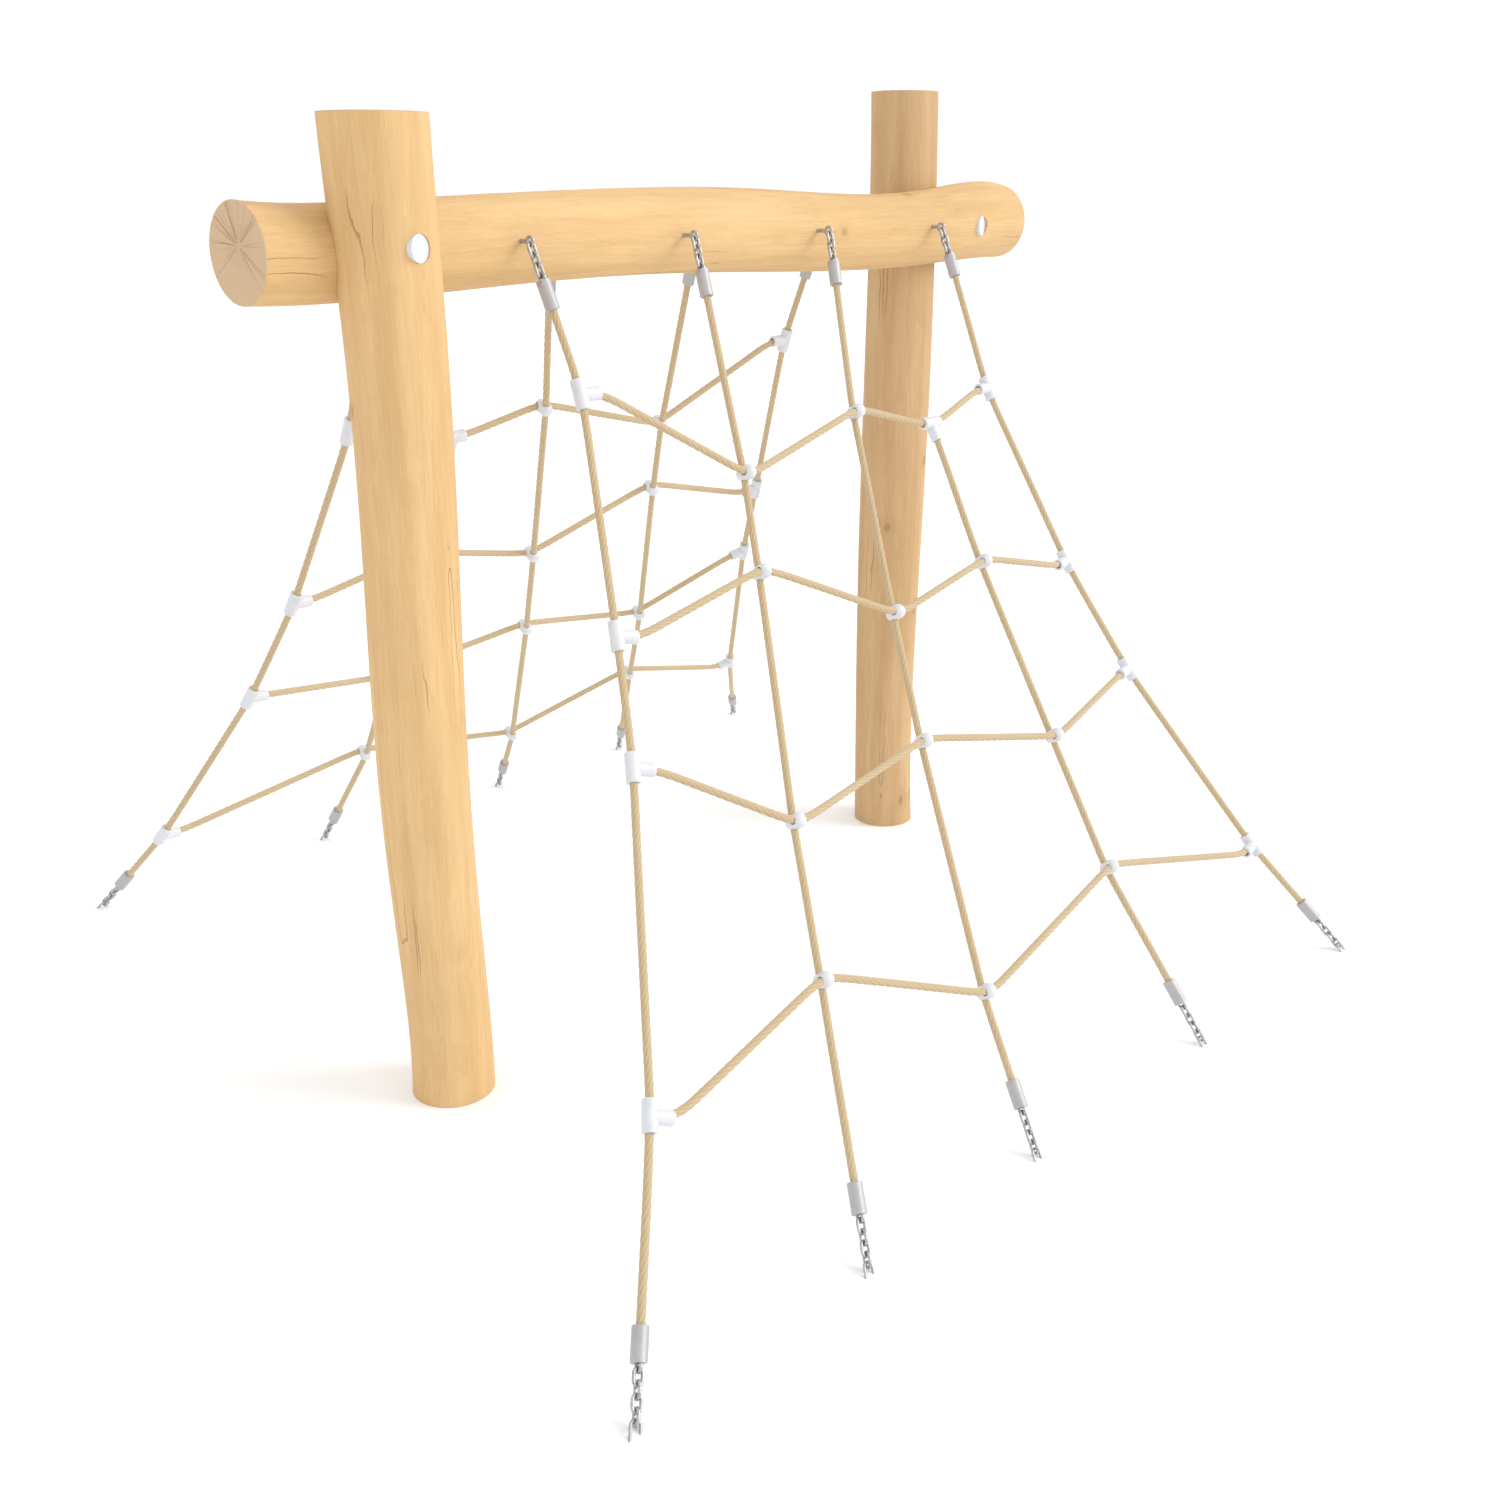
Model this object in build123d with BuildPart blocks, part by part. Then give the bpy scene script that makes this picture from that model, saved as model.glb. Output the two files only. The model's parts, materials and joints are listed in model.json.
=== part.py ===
"""Cargo climbing net: two round log posts, a round log crossbeam and two rope nets down to the ground.

Millimetres. X runs along the crossbeam and Z up. The origin is on the ground, midway between the posts.
The front net slopes down towards -Y. The back net is the front one turned half a turn about Z.
"""

import os
from itertools import pairwise
from math import asin, cos, radians, sin

from build123d import *

os.makedirs("parts", exist_ok=True)

# ---------------------------------------------------------------- driving dimensions
# Timber. A log is a list of stations: share of its length, its two offsets there and its radius.
post_spacing = 2010
post_set_back = 113  # from the middle of the frame to a post's axis, along Y
left_post_height = 2125
right_post_height = 2245
beam_axis_height = 1883
beam_left_overhang = 250  # past the left post's axis
beam_right_overhang = 335
beam_radius = 100  # nominal, where the eye screws go in
left_post_log = [
    (0, 12, 0, 96), (0.2, 5, 3, 95), (0.42, -2, 5, 98),
    (0.64, 8, 2, 99), (0.85, 3, -2, 102), (1, -9, -4, 105),
]
right_post_log = [(0, 4, 0, 94), (0.27, -4, 4, 94), (0.51, 3, 2, 100), (0.76, 5, -3, 99), (1, 0, 0, 96)]
beam_log = [
    (0, 4, -7, 96), (0.14, -3, -8, 95), (0.27, -6, 4, 95), (0.43, 0, 10, 98),
    (0.58, 6, 2, 101), (0.72, 3, -10, 99), (0.85, -4, -3, 102), (1, 2, 8, 105),
]
log_end_rounding = 9
saddle_clearance = 0.5  # between the posts' saddles and the beam

# Post bolts, one at each post, through the post and the beam
post_bolt_diameter = 16
post_bolt_skew = 16.0  # degrees in plan from straight across the frame
post_bolt_shift = 60  # outward from the post's axis to where the bolt crosses the beam's axis
bolt_hole_clearance = 0.5
bolt_hole_reach = 400  # each way, clear of both logs
thread_clearance = 0.05
thread_end = 6  # past the nut
head_gap = 0.1  # under a head or nut
bolt_head_across_flats = 24
bolt_head_height = 10
washer_diameter = 50
washer_thickness = 4
recess_diameter = 55
recess_depth = 34  # from the log's surface to the washer's seat
cap_clearance = 0.25
cap_thickness = 6
cap_dome = 3
cap_wall = 3
cap_skirt = 12

# Net ropes
rope_diameter = 18
run_gap = 0.1  # a hairline between two straight runs, so that each stays its own solid
bore_clearance = 0.15
crossing_gap = 0.8  # between two ropes where they cross
mouth_gap = 2.5  # from a connector's mouth to where its rope bends
branch_gap = 4.5  # the same at a branch, where a rope bends more
flex_height = 930  # the ropes give at this height, between the second and third rows
flex_length = 70

# Chains
link_wire = 7
link_pitch = 22
link_inside = 10  # width of a link's opening
link_play = 0.3

# Ferrules
ferrule_diameter = 32
ferrule_length = 63
ferrule_flat_depth = 4.5
ferrule_flat_length = 12
ferrule_edge = 1.2
rope_insert = 42

# T connectors
tee_diameter = 32
tee_length = 66
branch_diameter = 31
tee_branch = 50
tee_edge = 2.5
socket_floor = 15  # from the through rope's axis to the end of the rope in the branch

# Cross connectors
cross_diameter = 36
cross_length = 54
cross_flat = 2

# Eye screws and ground staples
eye_rise = 2  # of the eyes above the beam's axis
eye_reach = 130  # from the beam's axis to the middle of the eye
first_eye = -650
eye_spacing = 503
eye_wire = 7
eye_inside = 12
eye_shank_diameter = 10
eye_shank_depth = 75  # into the timber
eye_hole_clearance = 0.1
eye_hole_spare = 1
staple_height = 10  # of the last link's end above the ground
staple_wire = 6
staple_inside = 14
staple_play = 4  # free travel of the last link in its staple, along the chain

# The net's pattern: each rope's knots from the beam down, as (across, height)
rope_knots = {
    1: [(-615, 1575), (-735, 1105), (-830, 870), (-1155, 350)],
    2: [(-220, 1370), (-290, 1165), (-505, 695), (-635, 425)],
    3: [(230, 1460), (80, 1015), (-25, 750), (-225, 280)],
    4: [(485, 1410), (460, 1075), (415, 670), (365, 380)],
    5: [(815, 1465), (835, 1015), (870, 735), (975, 275)],
}
anchor_across = {1: -1475, 2: -885, 3: -340, 4: 340, 5: 1060}
anchor_line_distance = 1329  # in front of the beam, at the middle
anchor_line_slope = 0.0873  # how much further out each anchor lies per millimetre across
rope_sag = {1: 0.57, 2: 0.42, 3: 0.37, 4: 0.28, 5: 0.34}

# ---------------------------------------------------------------- derived sizes
post_x = post_spacing / 2
beam_left_end = -post_x - beam_left_overhang
beam_right_end = post_x + beam_right_overhang
eye_height = beam_axis_height + eye_rise
rope_radius = rope_diameter / 2
rope_offset = rope_radius + crossing_gap / 2  # from a cross connector's middle to each of its two ropes
tee_straight = tee_length / 2 + mouth_gap  # half of the straight stretch of rope in a tube
cross_straight = cross_diameter / 2 + mouth_gap
branch_straight = tee_branch + branch_gap
link_width = link_inside + 2 * link_wire
link_arm = link_pitch + 2 * link_wire - link_width  # straight part of a link's side
link_bend = (link_width - link_wire) / 2  # radius of the wire's middle line round a link's end
link_reach = link_pitch / 2 + link_wire / 2  # from a link's middle to its end wire's middle
link_step = link_pitch - link_play
eye_ring = (eye_inside + eye_wire) / 2
staple_bend = (staple_inside + staple_wire) / 2  # radius of the wire's middle line over the arch
top_chain_start = link_reach - link_wire / 2 - eye_wire / 2 - link_play
top_chain_links = 4
bottom_chain_links = 5
top_ferrule_start = top_chain_start + (top_chain_links - 1) * link_step
bottom_ferrule_start = link_reach + (bottom_chain_links - 1) * link_step
hanging_ropes = (1, 2, 3, 5)
edge_ropes = (1, 5)
inner_ropes = (2, 3, 4)


def export(name, part):
    part.label = name
    export_step(part, f"parts/{name}.step")


# ---------------------------------------------------------------- the net's geometry
def net_point(across, height, sag):
    """A point of the hanging net: its distance out grows towards the ground faster than a straight line."""
    fall = 1 - height / eye_height
    share = fall - sag * fall * (1 - fall)
    ground_distance = anchor_line_distance + anchor_line_slope * across
    return Vector(across, -(eye_reach + (ground_distance - eye_reach) * share), height)


def knots_of(rope):
    """The rope's own points: eye, four knots and anchor. The fourth rope starts at its first knot."""
    points = [net_point(across, height, rope_sag[rope]) for across, height in rope_knots[rope]]
    ground = anchor_across[rope]
    points.append(Vector(ground, -(anchor_line_distance + anchor_line_slope * ground), staple_height))
    eye = first_eye + eye_spacing * (hanging_ropes.index(rope) if rope in hanging_ropes else 0)
    points.insert(0, Vector(eye, -eye_reach, eye_height) if rope in hanging_ropes else None)
    return points


knots = {rope: knots_of(rope) for rope in rope_knots}


def unit(vector):
    return vector.normalized()


def rope_direction(rope, row):
    """Downwards along a rope where it passes a knot."""
    above, here, below = knots[rope][row - 1], knots[rope][row], knots[rope][row + 1]
    return unit(unit(here - above) + unit(below - here)) if above else unit(below - here)


def row_direction(rope, row):
    """Across the net, towards the last rope, where a row passes a knot."""
    here = knots[rope][row]
    left = unit(here - knots[rope - 1][row]) if rope > 1 else Vector(0, 0, 0)
    right = unit(knots[rope + 1][row] - here) if rope < 5 else Vector(0, 0, 0)
    return unit(left + right)


def outward(rope, row):
    """The net's normal at a knot, away from the frame."""
    return unit(row_direction(rope, row).cross(rope_direction(rope, row)) * -1)


def square_to(direction, axis):
    """The part of a direction that is square to an axis."""
    return unit(direction - axis * direction.dot(axis))


def branch_direction(rope, row):
    """Along a T connector's branch."""
    here = knots[rope][row]
    if rope == 4:
        return square_to(knots[4][row + 1] - here, row_direction(4, row))
    neighbour = knots[2][row] if rope == 1 else knots[4][row]
    return square_to(neighbour - here, rope_direction(rope, row))


def tee_axis(rope, row):
    """Along a T connector's main tube."""
    return row_direction(4, row) if rope == 4 else rope_direction(rope, row)


def has_tee(rope, row):
    return rope in edge_ropes or (rope == 4 and row == 1)


def rope_path(rope):
    """The rope's corner points from its top end to its bottom end."""
    if rope in hanging_ropes:
        start = hook(rope)
        down = unit(rope_stretch(rope, 1)[0] - start)
        points = [start + down * (top_ferrule_start + ferrule_length - rope_insert)]
    else:
        points = []
    for row in (1, 2, 3, 4):
        points += rope_stretch(rope, row)
    anchor = knots[rope][5]
    up = unit(points[-1] - anchor)
    points.append(anchor + up * (bottom_ferrule_start + ferrule_length - rope_insert))
    return points


def branch_stretch(rope, row):
    """The straight stretch of rope in a T connector's branch, from its blind end out."""
    here, branch = knots[rope][row], branch_direction(rope, row)
    return [here + branch * socket_floor, here + branch * branch_straight]


def rope_stretch(rope, row):
    """A hanging rope's straight stretch in a connector, downwards. The fourth rope starts in a branch."""
    if rope not in hanging_ropes and row == 1:
        return branch_stretch(rope, row)
    here = knots[rope][row]
    along = rope_direction(rope, row) * (tee_straight if rope in edge_ropes else cross_straight)
    middle = here if rope in edge_ropes else here - outward(rope, row) * rope_offset
    return [middle - along, middle + along]


def row_stretch(rope, row):
    """The straight stretch of a row rope in a connector, towards the last rope."""
    if rope in edge_ropes:
        stretch = branch_stretch(rope, row)
        return stretch if rope == 1 else stretch[::-1]
    here = knots[rope][row]
    along = row_direction(rope, row) * (tee_straight if has_tee(rope, row) else cross_straight)
    middle = here if has_tee(rope, row) else here + outward(rope, row) * rope_offset
    return [middle - along, middle + along]


def hook(rope):
    """Where a rope's first link hangs: the middle of the eye's wire, on the side that the rope pulls."""
    eye = knots[rope][0]
    pull = rope_stretch(rope, 1)[0] - eye
    return eye + unit(Vector(0, pull.Y, pull.Z)) * eye_ring


def row_path(row):
    """A row rope's corner points, from the first rope's T to the last rope's T."""
    return [point for rope in rope_knots for point in row_stretch(rope, row)]


def at_height(points, height):
    """The index of the run that crosses a height, and the point where it does."""
    for index, (above, below) in enumerate(pairwise(points)):
        if above.Z >= height > below.Z:
            return index, above + (below - above) * ((above.Z - height) / (above.Z - below.Z))
    raise ValueError("the rope doesn't cross that height")


def split_path(points):
    """A rope's path in three: above where it gives, the short flexible stretch, and below."""
    index, middle = at_height(points, flex_height)
    along = unit(points[index + 1] - points[index])
    upper_end, lower_start = middle - along * flex_length / 2, middle + along * flex_length / 2
    hair = along * run_gap
    return (
        points[: index + 1] + [upper_end - hair],
        [upper_end, lower_start],
        [lower_start + hair] + points[index + 1 :],
    )


# ---------------------------------------------------------------- shapes
def turn(point, side):
    """A point or direction of the front net, or the same one on the back net."""
    return Vector(point.X * side, point.Y * side, point.Z)


def runs(points, radius):
    """Straight round runs from point to point, mitred where they meet, each its own solid."""
    along = [unit(end - start) for start, end in pairwise(points)]
    solids = []
    for index, (start, end) in enumerate(pairwise(points)):
        first, last = index == 0, index == len(along) - 1
        spare = 2 * radius
        low = start if first else start - along[index] * spare
        high = end if last else end + along[index] * spare
        with BuildPart(mode=Mode.PRIVATE) as run:
            with BuildSketch(Plane(origin=low, z_dir=along[index])):
                Circle(radius)
            extrude(amount=(high - low).length)
            if not first:
                mitre = unit(along[index - 1] + along[index])
                split(bisect_by=Plane(origin=start + mitre * run_gap / 2, z_dir=mitre), keep=Keep.TOP)
            if not last:
                mitre = unit(along[index] + along[index + 1])
                split(bisect_by=Plane(origin=end - mitre * run_gap / 2, z_dir=mitre), keep=Keep.BOTTOM)
        solids.append(run.part)
    return solids


def bore(start, end):
    """The room for a straight stretch of rope in a connector, open at its last end."""
    along = unit(end - start)
    floor = start - along * bore_clearance
    with BuildPart(mode=Mode.PRIVATE) as hollow:
        with BuildSketch(Plane(origin=floor, z_dir=along)):
            Circle(rope_radius + bore_clearance)
        extrude(amount=(end - floor).length)
    return hollow.part


def make_link():
    """One chain link, lying along Z with its loop in the XZ plane."""
    with BuildPart(mode=Mode.PRIVATE) as link:
        with BuildLine() as loop:
            side = Line((link_bend, 0, -link_arm / 2), (link_bend, 0, link_arm / 2))
            top = ThreePointArc(side @ 1, (0, 0, link_arm / 2 + link_bend), (-link_bend, 0, link_arm / 2))
            other = Line(top @ 1, (-link_bend, 0, -link_arm / 2))
            ThreePointArc(other @ 1, (0, 0, -link_arm / 2 - link_bend), side @ 0)
        with BuildSketch(Plane(origin=(link_bend, 0, -link_arm / 2), z_dir=(0, 0, 1))):
            Circle(link_wire / 2)
        sweep(path=loop.wire())
    return link.part


def make_ferrule():
    """A sleeve along Z: the chain end at 0, the rope's bore from the other end, flats beside the slot."""
    with BuildPart(mode=Mode.PRIVATE) as ferrule:
        with BuildSketch(Plane.XY):
            Circle(ferrule_diameter / 2)
        extrude(amount=ferrule_length)
        chamfer(ferrule.edges().filter_by(GeomType.CIRCLE).group_by(Axis.Z)[-1], ferrule_edge)
        with BuildSketch(Plane.XZ):
            for side in (-1, 1):
                with BuildLine():
                    Polyline(
                        (side * ferrule_diameter, 0),
                        (side * (ferrule_diameter / 2 - ferrule_flat_depth), 0),
                        (side * ferrule_diameter / 2, ferrule_flat_length),
                        (side * ferrule_diameter, ferrule_flat_length),
                        close=True,
                    )
                make_face()
        extrude(amount=ferrule_diameter, both=True, mode=Mode.SUBTRACT)
        with BuildSketch(Plane.XY.offset(ferrule_length - rope_insert - bore_clearance)):
            Circle(rope_radius + bore_clearance)
        extrude(amount=rope_insert + 1, mode=Mode.SUBTRACT)
        slot_thickness = link_wire + 2 * bore_clearance
        slot_depth = link_pitch / 2 + link_wire + bore_clearance
        with BuildSketch(Plane.XY):
            Rectangle(slot_thickness, link_width + 2 * bore_clearance)
        extrude(amount=slot_depth, mode=Mode.SUBTRACT)
    return ferrule.part


def make_cross():
    """A cross connector along Z: a round outer end and a slightly flattened inner end."""
    radius = cross_diameter / 2
    half = cross_length / 2
    flat_radius = (radius**2 - (radius - cross_flat) ** 2) ** 0.5
    inner_turn = radians(45)
    with BuildPart(mode=Mode.PRIVATE) as cross:
        with BuildSketch(Plane.XZ):
            with BuildLine():
                floor = Line((0, -half + cross_flat), (flat_radius, -half + cross_flat))
                middle = (radius * cos(inner_turn), -half + radius - radius * sin(inner_turn))
                ThreePointArc(floor @ 1, middle, (radius, -half + radius))
                Line((radius, -half + radius), (radius, half - radius))
                shoulder = (radius * cos(inner_turn), half - radius + radius * sin(inner_turn))
                ThreePointArc((radius, half - radius), shoulder, (0, half))
                Line((0, half), floor @ 0)
            make_face()
        revolve(axis=Axis.Z)
    return cross.part


def make_tee():
    """A T connector: main tube along Z, branch along X."""
    with BuildPart(mode=Mode.PRIVATE) as tee:
        with BuildSketch(Plane.XY.offset(-tee_length / 2)):
            Circle(tee_diameter / 2)
        extrude(amount=tee_length)
        with BuildSketch(Plane.YZ):
            Circle(branch_diameter / 2)
        extrude(amount=tee_branch)
        rims = tee.edges().filter_by(GeomType.CIRCLE)
        fillet(rims.group_by(Axis.Z)[0] + rims.group_by(Axis.Z)[-1] + rims.group_by(Axis.X)[-1], tee_edge)
    return tee.part


link_shape = make_link()
ferrule_shape = make_ferrule()
cross_shape = make_cross()
tee_shape = make_tee()


def chain_planes(start, along, across, first, count, step):
    """One plane for each link: Z along the chain, and the loops turned by a quarter from link to link."""
    other = along.cross(across)
    return [
        Plane(origin=start + along * (first + n * step), x_dir=across if n % 2 == 0 else other, z_dir=along)
        for n in range(count)
    ]


def make_log(stations, base, extra=0.0):
    """A natural log: round sections lofted along it. base turns a station into its section's plane."""
    with BuildPart(mode=Mode.PRIVATE) as log:
        for share, across, up, radius in stations:
            with BuildSketch(base(share, across, up)):
                Circle(radius + extra)
        loft()
    return log.part


def round_over(end_plane, radius):
    """What the rounding of a log's end takes away: a ring outside a quarter arc. Z points out of the log."""
    inner, spare, outside = radius - log_end_rounding, log_end_rounding, 2
    middle = log_end_rounding * (1 - cos(radians(45)))
    with BuildPart(mode=Mode.PRIVATE) as ring:
        with BuildSketch(Plane.XZ):
            with BuildLine():
                Polyline(
                    (inner, 0),
                    (inner, spare),
                    (radius + spare, spare),
                    (radius + spare, -2 * spare),
                    (radius + outside, -2 * spare),
                )
                ThreePointArc((radius + outside, -2 * spare), (radius - middle, -middle), (inner, 0))
            make_face()
        revolve(axis=Axis.Z)
    return end_plane.location * ring.part


def upright(x, y, height):
    return lambda share, across, up: Plane(origin=(x + across, y + up, share * height), z_dir=(0, 0, 1))


def lying(share, across, up):
    """A section plane of the crossbeam."""
    x = beam_left_end + share * (beam_right_end - beam_left_end)
    return Plane(origin=(x, across, beam_axis_height + up), x_dir=(0, 1, 0), z_dir=(1, 0, 0))


def end_rounding(stations, base, last):
    """What rounds over a log's last end, or its first."""
    share, across, up, radius = stations[-1] if last else stations[0]
    section = base(share, across, up)
    out = section.z_dir if last else section.z_dir * -1
    return round_over(Plane(origin=section.origin, x_dir=section.x_dir, z_dir=out), radius)


# ---------------------------------------------------------------- timber
left_upright = upright(-post_x, -post_set_back, left_post_height)
right_upright = upright(post_x, post_set_back, right_post_height)
beam_body = make_log(beam_log, lying)
beam_tool = make_log(beam_log, lying, saddle_clearance)
post_bodies = [make_log(left_post_log, left_upright), make_log(right_post_log, right_upright)]
post_tops = [
    end_rounding(left_post_log, left_upright, last=True),
    end_rounding(right_post_log, right_upright, last=True),
]
beam_ends = [end_rounding(beam_log, lying, last) for last in (True, False)]


def post_bolt_plane(side):
    """The left bolt's plane, or the right one's: middle on the beam's axis, Z out of the post."""
    lean = radians(post_bolt_skew)
    middle = Vector(-post_x - post_bolt_shift, 0, beam_axis_height)
    direction = Vector(sin(lean), -cos(lean), 0)
    return Plane(origin=turn(middle, side), z_dir=turn(direction, side))


post_bolt_planes = [post_bolt_plane(side) for side in (1, -1)]


def surface_distance(body, plane, sign):
    """How far a log's surface is from a bolt's middle, along the bolt."""
    ray = Edge.make_line(plane.origin, plane.origin + plane.z_dir * (sign * bolt_hole_reach))
    inside = (body & ray).edges()
    return max((point.position_at(end) - plane.origin).length for point in inside for end in (0, 1))


post_faces = [surface_distance(body, plane, 1) for body, plane in zip(post_bodies, post_bolt_planes)]
beam_faces = [surface_distance(beam_body, plane, -1) for plane in post_bolt_planes]


def recess(plane, face, sign):
    """The round recess for a washer and a head or nut, from the log's surface inwards."""
    with BuildPart(mode=Mode.PRIVATE) as hollow:
        with BuildSketch(plane.offset(sign * (face - recess_depth))):
            Circle(recess_diameter / 2)
        extrude(amount=sign * 3 * recess_depth)
    return hollow.part


def bolt_hole(plane):
    with BuildPart(mode=Mode.PRIVATE) as hole:
        with BuildSketch(plane):
            Circle(post_bolt_diameter / 2 + bolt_hole_clearance)
        extrude(amount=bolt_hole_reach, both=True)
    return hole.part


def eye_screw_hole(eye, side):
    """The pilot hole of one eye screw, from just outside the beam inwards."""
    with BuildPart(mode=Mode.PRIVATE) as hole:
        with BuildSketch(Plane(origin=eye, z_dir=(0, side, 0))):
            Circle(eye_shank_diameter / 2 + eye_hole_clearance)
        extrude(amount=eye_reach - beam_radius + eye_shank_depth + eye_hole_spare)
    return hole.part


bolt_holes = [bolt_hole(plane) for plane in post_bolt_planes]
post_recesses = [recess(plane, face, 1) for plane, face in zip(post_bolt_planes, post_faces)]
beam_recesses = [recess(plane, face, -1) for plane, face in zip(post_bolt_planes, beam_faces)]
eye_places = {side: [turn(knots[rope][0], side) for rope in hanging_ropes] for side in (1, -1)}
eye_holes = [eye_screw_hole(eye, side) for side, eyes in eye_places.items() for eye in eyes]

for number, name in enumerate(("left_post", "right_post")):
    with BuildPart() as post:
        add(post_bodies[number])
        add([post_tops[number], beam_tool, bolt_holes[number], post_recesses[number]], mode=Mode.SUBTRACT)
    export(name, post.part)

with BuildPart() as crossbeam:
    add(beam_body)
    add(beam_ends + bolt_holes + beam_recesses + eye_holes, mode=Mode.SUBTRACT)
export("crossbeam", crossbeam.part)

# ---------------------------------------------------------------- post bolts and caps
bolt_top = [face - recess_depth + washer_thickness + head_gap for face in post_faces]
bolt_bottom = [face - recess_depth + washer_thickness + head_gap for face in beam_faces]

with BuildPart() as post_bolts:
    for plane, top, bottom in zip(post_bolt_planes, bolt_top, bolt_bottom):
        with BuildSketch(plane.offset(-bottom - bolt_head_height - thread_end)):
            Circle(post_bolt_diameter / 2)
        extrude(amount=top + bottom + bolt_head_height + thread_end)
        with BuildSketch(plane.offset(top)):
            RegularPolygon(bolt_head_across_flats / 2, 6, major_radius=False)
        extrude(amount=bolt_head_height)
export("post_bolts", post_bolts.part)

with BuildPart() as post_bolt_nuts:
    for plane, bottom in zip(post_bolt_planes, bolt_bottom):
        with BuildSketch(plane.offset(-bottom - bolt_head_height)):
            RegularPolygon(bolt_head_across_flats / 2, 6, major_radius=False)
            Circle(post_bolt_diameter / 2 + thread_clearance, mode=Mode.SUBTRACT)
        extrude(amount=bolt_head_height)
export("post_bolt_nuts", post_bolt_nuts.part)

with BuildPart() as post_bolt_washers:
    for plane, post_face, beam_face in zip(post_bolt_planes, post_faces, beam_faces):
        post_seat = post_face - recess_depth + head_gap / 2
        beam_seat = -beam_face + recess_depth - washer_thickness - head_gap / 2
        for seat in (post_seat, beam_seat):
            with BuildSketch(plane.offset(seat)):
                Circle(washer_diameter / 2)
                Circle(post_bolt_diameter / 2 + bolt_hole_clearance, mode=Mode.SUBTRACT)
            extrude(amount=washer_thickness)
export("post_bolt_washers", post_bolt_washers.part)


def make_cap():
    """A white plug that closes a recess: a shallow dome with a skirt, its rim at Z 0."""
    radius = recess_diameter / 2 - cap_clearance
    dome_radius = (radius**2 + cap_dome**2) / (2 * cap_dome)
    half_turn = asin(radius / dome_radius) / 2
    dome_middle = (dome_radius * sin(half_turn), cap_dome - dome_radius * (1 - cos(half_turn)))
    with BuildPart(mode=Mode.PRIVATE) as cap:
        with BuildSketch(Plane.XZ):
            with BuildLine():
                Polyline(
                    (0, -cap_thickness + cap_dome),
                    (radius - cap_wall, -cap_thickness + cap_dome),
                    (radius - cap_wall, -cap_skirt),
                    (radius, -cap_skirt),
                    (radius, 0),
                )
                ThreePointArc((radius, 0), dome_middle, (0, cap_dome))
                Line((0, cap_dome), (0, -cap_thickness + cap_dome))
            make_face()
        revolve(axis=Axis.Z)
    return cap.part


cap_shape = make_cap()
cap_planes = []
for plane, post_face, beam_face in zip(post_bolt_planes, post_faces, beam_faces):
    cap_planes.append(Plane(origin=plane.origin + plane.z_dir * post_face, z_dir=plane.z_dir))
    cap_planes.append(Plane(origin=plane.origin - plane.z_dir * beam_face, z_dir=plane.z_dir * -1))

with BuildPart() as bolt_caps:
    with Locations(*cap_planes):
        add(cap_shape)
export("bolt_caps", bolt_caps.part)

# ---------------------------------------------------------------- eye screws and ground staples
def along_rope_end(rope, side, last):
    """A rope's fixed point and the direction from it along the rope: its hook, or its anchor if last."""
    path = rope_path(rope)
    fixed, neighbour = (knots[rope][5], path[-2]) if last else (hook(rope), path[1])
    return turn(fixed, side), turn(unit(neighbour - fixed), side)


def across_net(rope, side, along, last):
    """Across the net at a rope's end, square to the rope."""
    if not last:
        return square_to(Vector(side, 0, 0), along)
    line = Vector(1, -anchor_line_slope, 0)
    return square_to(turn(line, side), along)


def staple_solid(rope, side):
    """A U of round bar that leans with the rope and is cut off at the ground."""
    anchor, up = along_rope_end(rope, side, last=True)
    across = across_net(rope, side, up, last=True)
    arch = anchor + up * (link_wire / 2 + staple_wire / 2 + staple_play - staple_bend)
    below = arch - up * (3 * staple_height)  # underground, until the cut
    with BuildPart(mode=Mode.PRIVATE) as staple:
        with BuildLine():
            right = Line(below + across * staple_bend, arch + across * staple_bend)
            bend = ThreePointArc(right @ 1, arch + up * staple_bend, arch - across * staple_bend)
            left = Line(bend @ 1, below - across * staple_bend)
        with BuildSketch(Plane(origin=right @ 0, z_dir=up)):
            Circle(staple_wire / 2)
        sweep(path=Wire([right, bend, left]))
        split(bisect_by=Plane.XY, keep=Keep.TOP)
    return staple.part


for side_name, side in (("front", 1), ("back", -1)):
    with BuildPart() as eye_screws:
        for eye in eye_places[side]:
            inward = Vector(0, side, 0)
            with BuildSketch(Plane(origin=eye + inward * eye_ring, z_dir=(0, 0, 1))):
                Circle(eye_wire / 2)
            revolve(axis=Axis(eye, (1, 0, 0)))
            with BuildSketch(Plane(origin=eye + inward * eye_ring, z_dir=inward)):
                Circle(eye_shank_diameter / 2)
            extrude(amount=eye_reach - eye_ring - beam_radius + eye_shank_depth)
    export(f"{side_name}_eye_screws", eye_screws.part)

    staples = [staple_solid(rope, side) for rope in rope_knots]
    with BuildPart() as ground_staples:
        add(staples)
    export(f"{side_name}_ground_staples", ground_staples.part)


# ---------------------------------------------------------------- nets
def connector_place(rope, row, side):
    """A connector's plane: a T's tube is along Z and its branch along X; a cross connector's axis is Z."""
    here = turn(knots[rope][row], side)
    if has_tee(rope, row):
        z_dir, x_dir = tee_axis(rope, row), branch_direction(rope, row)
    else:
        z_dir, x_dir = outward(rope, row), row_direction(rope, row)
    return Plane(origin=here, x_dir=turn(x_dir, side), z_dir=turn(z_dir, side))


def turned(points, side):
    return [turn(point, side) for point in points]


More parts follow.
